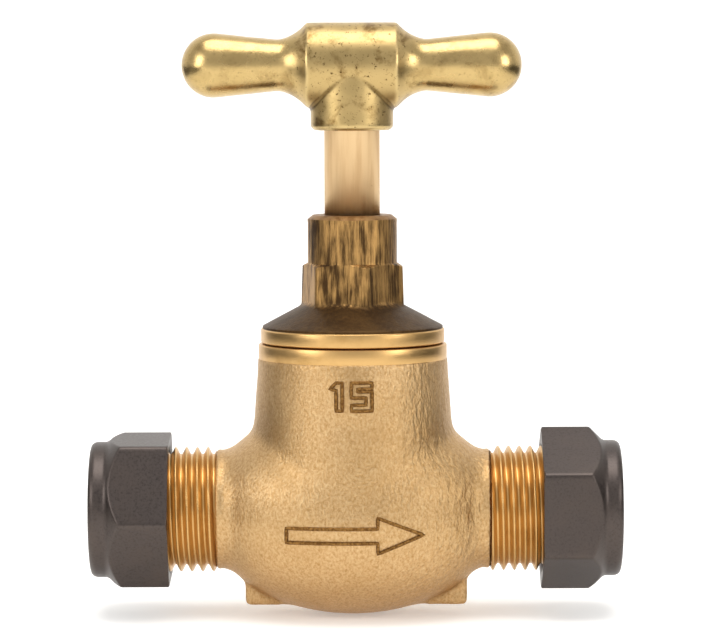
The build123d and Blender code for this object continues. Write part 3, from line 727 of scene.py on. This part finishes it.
class VALVE_OT_body(bpy.types.Operator):
    """Make the cast body, its turned ring and threaded ports, and the cast marks"""

    bl_idname = "valve.body"
    bl_label = "Body"

    def execute(self, context):
        sizes = context.scene.valve_sizes
        bm = cad_copy("valve_body")
        for side in (-1, 1):
            cut_off(bm, (side * (COLLAR_END - 0.03), 0, 0), (side, 0, 0))
        cut_off(bm, (0, 0, RING_BOTTOM), (0, 0, 1))
        skin = cast_over(bm, in_mm(sizes.casting_step))
        eased(skin, 4)
        eased(skin, sizes.casting_blend, lambda co: self.within(co, 1.6, 1.4) and not self.on_lug(co))
        unevened(skin, in_mm(sizes.casting_dips), (5.0, 5.0, 9.0), lambda co: self.within(co, 0.8, 0.6))
        unevened(skin, 0.06, (1.3, 1.3, 3.5), lambda co: self.within(co, 0.8, 0.6))
        hollows_for_shading(skin, 12)
        kept_inside(skin, "valve_body")
        marks = self.marks(skin, in_mm(sizes.mark_line))
        placed("body_casting", skin, "cast", "body", ("valve_body",))
        kept_inside(marks, "valve_body")
        placed("body_marks", marks, "mark", "body", sharp=80)

        ring = turned([
            (RING_BORE_R, RING_BOTTOM - 0.4), (RING_R, RING_BOTTOM - 0.4),
            (RING_R, RING_TOP), (RING_BORE_R, RING_TOP),
        ])
        placed("body_ring", soften(ring, in_mm(sizes.ring_edge)), "turned", "body")

        inlet = self.port(in_mm(sizes.fine_edge))
        mirrored(inlet)
        placed("inlet_port", inlet, "turned_x", "body", sharp=50)
        outlet = self.port(in_mm(sizes.fine_edge))
        placed("outlet_port", outlet, "turned_x", "body", sharp=50)
        return {"FINISHED"}

    @staticmethod
    def within(co, end_margin, top_margin):
        """Whether a point of the casting is clear of its two ends and of its top."""
        return abs(co.x) < COLLAR_END - end_margin and co.z < RING_BOTTOM - top_margin

    @staticmethod
    def on_lug(co):
        """Whether a point belongs to one of the two lugs under the casting."""
        return co.z < LUG_TOP and abs(co.x) > LUG_START

    @staticmethod
    def marks(skin, width):
        """The flow arrow on the bulb and the pipe size on the barrel."""
        arrow = [(-11, -1.2), (4, -1.2), (4, 0.6), (11.5, -2.4), (4, -5.4), (4, -3.6), (-11, -3.6)]
        one = [(-2.75, 18.1), (-1.75, 18.1), (-1.75, 22.7), (-2.75, 22.7), (-3.75, 21.7), (-2.75, 21.5)]
        five = [
            (-0.25, 18.1), (3.15, 18.1), (3.15, 21.28), (0.75, 21.28), (0.75, 21.7), (3.15, 21.7),
            (3.15, 22.7), (-0.25, 22.7), (-0.25, 20.28), (2.15, 20.28), (2.15, 19.1), (-0.25, 19.1),
        ]
        return bead(skin, [arrow, one, five], width)

    @staticmethod
    def port(edge):
        """The outlet's threaded port: a sleeve with the pipe's socket in it, and the thread round it."""
        wall_r, start = PORT_ROOT_R - 0.02, COLLAR_END - 0.3
        sleeve = soften(turned([
            (WATERWAY_R, start), (WATERWAY_R, PIPE_STOP), (SOCKET_R, PIPE_STOP), (SOCKET_R, SOCKET_END),
            (MOUTH_R, PORT_END), (wall_r, PORT_END), (wall_r, start),
        ], axis="X"), edge, segments=1)
        thread = helical_skin(PORT_ROOT_R, PORT_CREST_R, PORT_PITCH, COLLAR_END - 0.05, PORT_END - 0.02)
        lead_slope = (PORT_CREST_R - PORT_ROOT_R) / PORT_LEAD
        limited(thread, lambda x: PORT_ROOT_R + (PORT_END - x) * lead_slope)
        return joined(sleeve, thread)


class VALVE_OT_bonnet(bpy.types.Operator):
    """Make the bonnet: its forged neck, hexagon and cone, and its turned crown, rim and spigot"""

    bl_idname = "valve.bonnet"
    bl_label = "Bonnet"

    def execute(self, context):
        sizes = context.scene.valve_sizes
        bottom, top = RIM_TOP - 0.1, NECK_TOP - CROWN_DEPTH
        rows = round((top - bottom) / BONNET_ROW)
        outer = [(WIDE_R, bottom + (top - bottom) * i / rows) for i in range(rows + 1)]
        forging = turned([(BONNET_BORE_R, bottom)] + outer + [(BONNET_BORE_R, top)], steps=FINE_STEPS)
        drawn_in(forging, "Z", self.radius)
        unevened(forging, 0.05, (2.0, 2.0, 6.0), lambda co: co.z < top - 0.5)
        placed("bonnet_forging", forging, "oxide", "body", ("bonnet",))

        crown = turned([
            (BONNET_BORE_R, top - 0.3), (NECK_R - 0.04, top - 0.3), (NECK_R - 0.04, top + 0.02),
            (NECK_R - CROWN_CHAMFER, NECK_TOP), (BONNET_BORE_R + 0.25, NECK_TOP),
            (BONNET_BORE_R, NECK_TOP - 0.25),
        ])
        placed("bonnet_crown", soften(crown, in_mm(sizes.fine_edge)), "crown", "body")

        rim = turned([(RIM_BORE_R, RIM_BOTTOM), (RIM_R, RIM_BOTTOM), (RIM_R, RIM_TOP), (RIM_BORE_R, RIM_TOP)])
        rim = soften(rim, in_mm(sizes.rim_edge), segments=3)
        placed("bonnet_rim", rim, "turned", "body")

        spigot = cad_copy("bonnet")
        cut_off(spigot, (0, 0, RIM_BOTTOM + 0.2), (0, 0, 1))
        placed("bonnet_spigot", spigot, "turned", "body")
        return {"FINISHED"}

    @staticmethod
    def radius(angle, z):
        """The forging's radius: a drafted hexagon with a round shoulder, neck above and cone below."""
        flat = NECK_R + HEX_FULLNESS + math.tan(HEX_DRAFT) * (HEX_TOP - z)
        six = hexagon_r(angle, flat, math.radians(HEX_TURN), 0.2)
        shoulder = NECK_R + (HEX_TOP + SHOULDER_RISE - z) * SHOULDER_SLOPE
        cone = CONE_TOP_R + (CONE_TOP - z) * CONE_SLOPE
        upper = soft_max(soft_min(six, shoulder, 0.25), NECK_R, 0.15)
        return soft_max(upper, min(cone, CONE_R), 0.7)


class VALVE_OT_spindle(bpy.types.Operator):
    """Finish the spindle with its seals and thrust washer, and the gasket under the bonnet"""

    bl_idname = "valve.spindle"
    bl_label = "Spindle"

    def execute(self, context):
        placed("spindle_rod", cad_copy("spindle"), "rod", "spindle", ("spindle",), sharp=30)
        refinish("turned", "thrust_washer")
        refinish("rubber", "upper_seal_ring", "lower_seal_ring")
        refinish("fibre", "bonnet_gasket")
        return {"FINISHED"}


class VALVE_OT_handle(bpy.types.Operator):
    """Make the T handle and its pin"""

    bl_idname = "valve.handle"
    bl_label = "T handle"

    def execute(self, context):
        sizes = context.scene.valve_sizes
        skin = cast_over(cad_copy("t_handle"), in_mm(sizes.handle_step))
        eased(skin, sizes.handle_blend)
        unevened(skin, 0.06, (3.0, 3.0, 3.0))
        hollows_for_shading(skin, 12)
        kept_inside(skin, "t_handle")
        placed("handle", skin, "tumbled", "spindle", ("t_handle",), sharp=80)
        placed("pin", cad_copy("handle_pin"), "turned", "spindle", ("handle_pin",))
        return {"FINISHED"}


class VALVE_OT_nuts(bpy.types.Operator):
    """Make the two compression nuts"""

    bl_idname = "valve.nuts"
    bl_label = "Nuts"

    def execute(self, context):
        for side in ("inlet", "outlet"):
            name = side + "_nut"
            low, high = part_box(name)
            start = (low.x if side == "outlet" else -high.x) / MM
            nut = self.nut(start, math.radians(NUT_TURN[side]))
            if side == "inlet":
                mirrored(nut)
            kept_inside(nut, name)
            placed(name + "_piece", nut, "nut", name, (name,), sharp=60)
        return {"FINISHED"}

    @staticmethod
    def nut(start, corner):
        """A nut on the outlet side with its front at start and a corner at that angle, from +Y towards +Z."""
        end = start + NUT_LENGTH
        outer = [(WIDE_R, start + NUT_LENGTH * i / NUT_ROWS) for i in range(NUT_ROWS + 1)]
        inner = [
            (NUT_HOLE_R, end), (NUT_HOLE_R, end - NUT_HOLE_LENGTH),
            (NUT_THREAD_R, end - NUT_HOLE_LENGTH - NUT_OLIVE_CONE), (NUT_THREAD_R, start + NUT_THREAD_LEAD),
            (NUT_THREAD_R + NUT_THREAD_LEAD, start),
        ]
        bm = turned(outer + inner, axis="X", steps=FINE_STEPS)

        def radius(angle, x):
            """The hexagon, crisp at its front and chamfered to a collar with a rounded end."""
            s = x - start
            six = hexagon_r(angle, NUT_FLAT_R, corner, 0.17)
            front = NUT_FLAT_R + NUT_FRONT_OVER + s * NUT_FRONT_SLOPE
            back = max(NUT_COLLAR_R + NUT_COLLAR_START + 0.4 - s, 5.0)
            round_in = max(s - (NUT_LENGTH - NUT_END_ROUND), 0.0)
            round_out = math.sqrt(max(NUT_END_ROUND ** 2 - round_in ** 2, 0.0))
            collar = NUT_COLLAR_R - 0.9 + 0.75 * round_out
            if s >= NUT_LENGTH - 1.5:
                return collar
            return soft_max(soft_min(soft_min(six, front, 0.12), back, 0.25), collar, 0.5)

        drawn_in(bm, "X", radius)
        bmesh.ops.remove_doubles(bm, verts=bm.verts, dist=1e-4)
        return bm


class VALVE_OT_inner(bpy.types.Operator):
    """Finish the jumper with its washer and nut, and the two olives"""

    bl_idname = "valve.inner"
    bl_label = "Jumper and olives"

    def execute(self, context):
        refinish("turned", "jumper", "jumper_nut")
        refinish("rubber", "jumper_washer")
        refinish("turned_x", "inlet_olive", "outlet_olive")
        return {"FINISHED"}


def refinish(finish, *names):
    """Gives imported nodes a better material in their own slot."""
    for name in names:
        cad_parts[name].material_slots[0].material = finish_of(finish)


# ---- The stage ------------------------------------------------------------------------------------

def matt(name, hex_colour, more):
    """A plain matt material for the stage, with more of its shader's inputs."""
    material = bpy.data.materials.new(name)
    material.use_nodes = True
    shader = material.node_tree.nodes["Principled BSDF"]
    feed(material.node_tree, shader, {"Base Color": linear(hex_colour), **more})
    return material


def prop(name, bm, material):
    """A mesh as an object of the stage."""
    mesh = bpy.data.meshes.new(name)
    bm.to_mesh(mesh)
    bm.free()
    mesh.shade_smooth()
    mesh.materials.append(material)
    made = bpy.data.objects.new(name, mesh)
    bpy.context.scene.collection.objects.link(made)
    return made


def lamp(name, place, width, height, power):
    """A soft rectangular lamp aimed at the middle of the valve."""
    data = bpy.data.lights.new(name, "AREA")
    data.shape = "RECTANGLE"
    data.size, data.size_y = width, height
    data.energy = power
    made = bpy.data.objects.new(name, data)
    bpy.context.scene.collection.objects.link(made)
    made.location = place
    made.rotation_mode = "QUATERNION"
    made.rotation_quaternion = (Vector(MIDDLE) - Vector(place)).to_track_quat("-Z", "Y")


class VALVE_OT_stage(bpy.types.Operator):
    """Make the pale floor, the soft light and the camera"""

    bl_idname = "valve.stage"
    bl_label = "Stage"

    def execute(self, context):
        context.scene.view_settings.view_transform = "Standard"
        self.floor()
        self.flags()
        for settings in LAMPS:
            lamp(*settings)
        self.world(context.scene)
        self.camera(context.scene)
        return {"FINISHED"}

    @staticmethod
    def floor():
        """White paper that curves up behind the valve, a little brighter than the light makes it."""
        floor_z = CAD_BOX[0][2]
        turn = [math.pi / 2 * i / 12 for i in range(1, 13)]
        path = [(FLOOR_FRONT, 0.0), (FLOOR_BACK, 0.0)]
        path += [(FLOOR_BACK + FLOOR_BEND * math.sin(a), FLOOR_BEND * (1 - math.cos(a))) for a in turn]
        path += [(FLOOR_BACK + FLOOR_BEND, FLOOR_TALL)]
        bm = bmesh.new()
        verts = [bm.verts.new((-FLOOR_HALF, y, floor_z + z)) for y, z in path]
        edges = [bm.edges.new(pair) for pair in zip(verts, verts[1:])]
        made = bmesh.ops.extrude_edge_only(bm, edges=edges)["geom"]
        moved = [v for v in made if isinstance(v, bmesh.types.BMVert)]
        bmesh.ops.translate(bm, vec=(2 * FLOOR_HALF, 0, 0), verts=moved)
        bmesh.ops.recalc_face_normals(bm, faces=bm.faces)
        paper = matt("white_paper", "#f3f2ef", {
            "Roughness": 0.9, "Specular IOR Level": 0.1,
            "Emission Color": linear("#ffffff"), "Emission Strength": 0.3,
        })
        prop("floor", bm, paper)

    @staticmethod
    def flags():
        """Two dark cards beside the valve, seen only in its reflections, that darken its outline."""
        cloth = matt("black_cloth", "#1c1a18", {"Roughness": 1.0})
        for side in (-1, 1):
            card = bmesh.new()
            bmesh.ops.create_grid(card, x_segments=1, y_segments=1, size=0.5)
            bmesh.ops.scale(card, vec=(0.1, 0.5, 1.0), verts=card.verts)
            bmesh.ops.rotate(card, matrix=Matrix.Rotation(math.pi / 2, 3, "Y"), verts=card.verts)
            bmesh.ops.translate(card, vec=(side * FLAG_PLACE[0], *FLAG_PLACE[1:]), verts=card.verts)
            prop("flag", card, cloth).visible_camera = False

    @staticmethod
    def world(scene):
        """An even, faintly cool light from all round."""
        world = bpy.data.worlds.new("studio")
        world.use_nodes = True
        background = world.node_tree.nodes["Background"]
        feed(world.node_tree, background, {"Color": linear("#f6f6f8"), "Strength": WORLD_STRENGTH})
        scene.world = world

    @staticmethod
    def camera(scene):
        """A long lens a little above the valve, looking down at it."""
        data = bpy.data.cameras.new("camera")
        data.sensor_width = SENSOR_MM
        data.lens = SENSOR_MM * CAMERA_DISTANCE / CAMERA_VIEW_WIDTH
        data.clip_start, data.clip_end = 0.05, 20
        camera = bpy.data.objects.new("camera", data)
        scene.collection.objects.link(camera)
        back = Vector((0, -math.cos(CAMERA_PITCH), math.sin(CAMERA_PITCH)))
        camera.location = Vector(CAMERA_TARGET) + back * CAMERA_DISTANCE
        camera.rotation_mode = "QUATERNION"
        roll = Matrix.Rotation(-CAMERA_ROLL, 3, "Z").to_quaternion()
        camera.rotation_quaternion = (-back).to_track_quat("-Z", "Y") @ roll
        scene.camera = camera


# ---- The add-on -----------------------------------------------------------------------------------

class VALVE_PT_panel(bpy.types.Panel):
    """Sizes, finishes and pieces of the stop valve"""

    bl_idname = "VALVE_PT_panel"
    bl_label = "Stop valve"
    bl_space_type = "VIEW_3D"
    bl_region_type = "UI"
    bl_category = "Valve"

    def draw(self, context):
        for group in (context.scene.valve_sizes, context.scene.valve_finish):
            column = self.layout.column(align=True)
            for name in group.__annotations__:
                column.prop(group, name)
        for operator in OPERATORS:
            self.layout.operator(operator.bl_idname)


OPERATORS = (
    VALVE_OT_body, VALVE_OT_bonnet, VALVE_OT_spindle, VALVE_OT_handle, VALVE_OT_nuts, VALVE_OT_inner,
    VALVE_OT_stage,
)
CLASSES = (ValveSizes, ValveFinish, *OPERATORS, VALVE_PT_panel)


def register():
    """Adds the classes and the scene's settings."""
    for cls in CLASSES:
        bpy.utils.register_class(cls)
    bpy.types.Scene.valve_sizes = PointerProperty(type=ValveSizes)
    bpy.types.Scene.valve_finish = PointerProperty(type=ValveFinish)


def unregister():
    """Takes them away again."""
    del bpy.types.Scene.valve_finish
    del bpy.types.Scene.valve_sizes
    for cls in reversed(CLASSES):
        bpy.utils.unregister_class(cls)


def main():
    """Makes every piece and the stage."""
    register()
    for operator in OPERATORS:
        group, name = operator.bl_idname.split(".")
        getattr(getattr(bpy.ops, group), name)()


if __name__ == "__main__":
    main()
